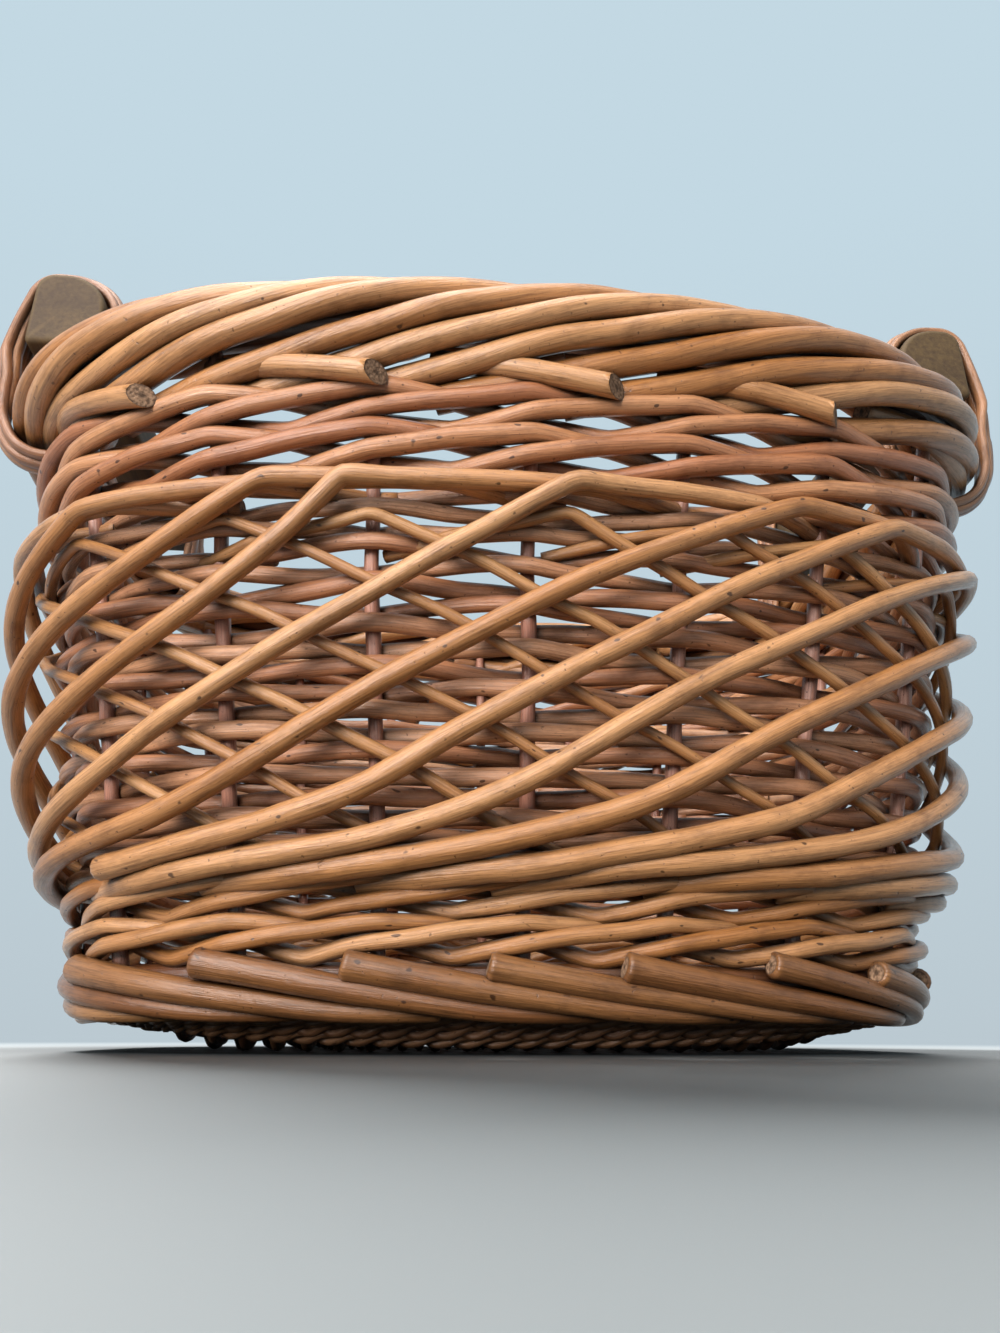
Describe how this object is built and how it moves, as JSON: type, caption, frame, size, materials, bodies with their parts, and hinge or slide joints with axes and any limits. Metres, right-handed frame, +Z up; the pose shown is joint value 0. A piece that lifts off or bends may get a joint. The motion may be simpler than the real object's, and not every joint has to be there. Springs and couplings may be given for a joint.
{
  "type": "wicker gathering basket",
  "caption": "Oblong varnished willow gathering basket with a rolled rope border, crossed lattice sides, a woven base and a lashed wooden grip at each end.",
  "frame": {"origin": "on the floor under the middle of the basket, at the bottom centre of its bounding box", "axes": "+X along the basket's length towards the right grip, +Y away from the pictured side, +Z up"},
  "size_m": [0.4118, 0.3094, 0.2983],
  "materials": {
    "honey_willow": "varnished peeled willow, golden brown, glossy",
    "copper_willow": "varnished buff willow, copper brown, satin gloss",
    "stake_willow": "varnished willow stakes, pinkish brown",
    "lashing_willow": "split willow skeins, pale pinkish brown",
    "grip_wood": "matte grey-brown stained hardwood"
  },
  "bodies": {
    "basket": {"base_weave": "copper_willow", "base_stick_01": "stake_willow", "base_stick_02": "stake_willow", "base_stick_03": "stake_willow", "base_stick_04": "stake_willow", "base_stick_05": "stake_willow", "foot_border": "honey_willow", "upsett_wale": "honey_willow", "side_weave": "copper_willow", "top_wale": "copper_willow", "rolled_border": "honey_willow", "under_lattice": "honey_willow", "stake_01": "stake_willow", "stake_02": "stake_willow", "stake_03": "stake_willow", "stake_04": "stake_willow", "stake_05": "stake_willow", "stake_06": "stake_willow", "stake_07": "stake_willow", "stake_08": "stake_willow", "stake_09": "stake_willow", "stake_10": "stake_willow", "stake_11": "stake_willow", "stake_12": "stake_willow", "stake_13": "stake_willow", "stake_14": "stake_willow", "stake_15": "stake_willow", "stake_16": "stake_willow", "stake_17": "stake_willow", "stake_18": "stake_willow", "stake_19": "stake_willow", "stake_20": "stake_willow", "lattice_rod_01": "honey_willow", "lattice_rod_02": "honey_willow", "lattice_rod_03": "honey_willow", "lattice_rod_04": "honey_willow", "lattice_rod_05": "honey_willow", "lattice_rod_06": "honey_willow", "lattice_rod_07": "honey_willow", "lattice_rod_08": "honey_willow", "lattice_rod_09": "honey_willow", "lattice_rod_10": "honey_willow", "lattice_rod_11": "honey_willow", "lattice_rod_12": "honey_willow", "lattice_rod_13": "honey_willow", "lattice_rod_14": "honey_willow", "lattice_rod_15": "honey_willow", "lattice_rod_16": "honey_willow", "lattice_rod_17": "honey_willow", "lattice_rod_18": "honey_willow", "lattice_rod_19": "honey_willow", "lattice_rod_20": "honey_willow"},
    "handle_left": {"grip_left": "grip_wood", "lashing_left_near": "lashing_willow", "lashing_left_far": "lashing_willow"},
    "handle_right": {"grip_right": "grip_wood", "lashing_right_near": "lashing_willow", "lashing_right_far": "lashing_willow"}
  },
  "joints": [
    {"name": "handle_left_swing", "type": "hinge", "parent": "basket", "child": "handle_left", "pos_m": [-0.18046, 0, 0.2305], "axis": [0, 1, 0], "range_deg": [-15, 15]},
    {"name": "handle_right_swing", "type": "hinge", "parent": "basket", "child": "handle_right", "pos_m": [0.18046, 0, 0.2305], "axis": [0, -1, 0], "range_deg": [-15, 15]}
  ]
}
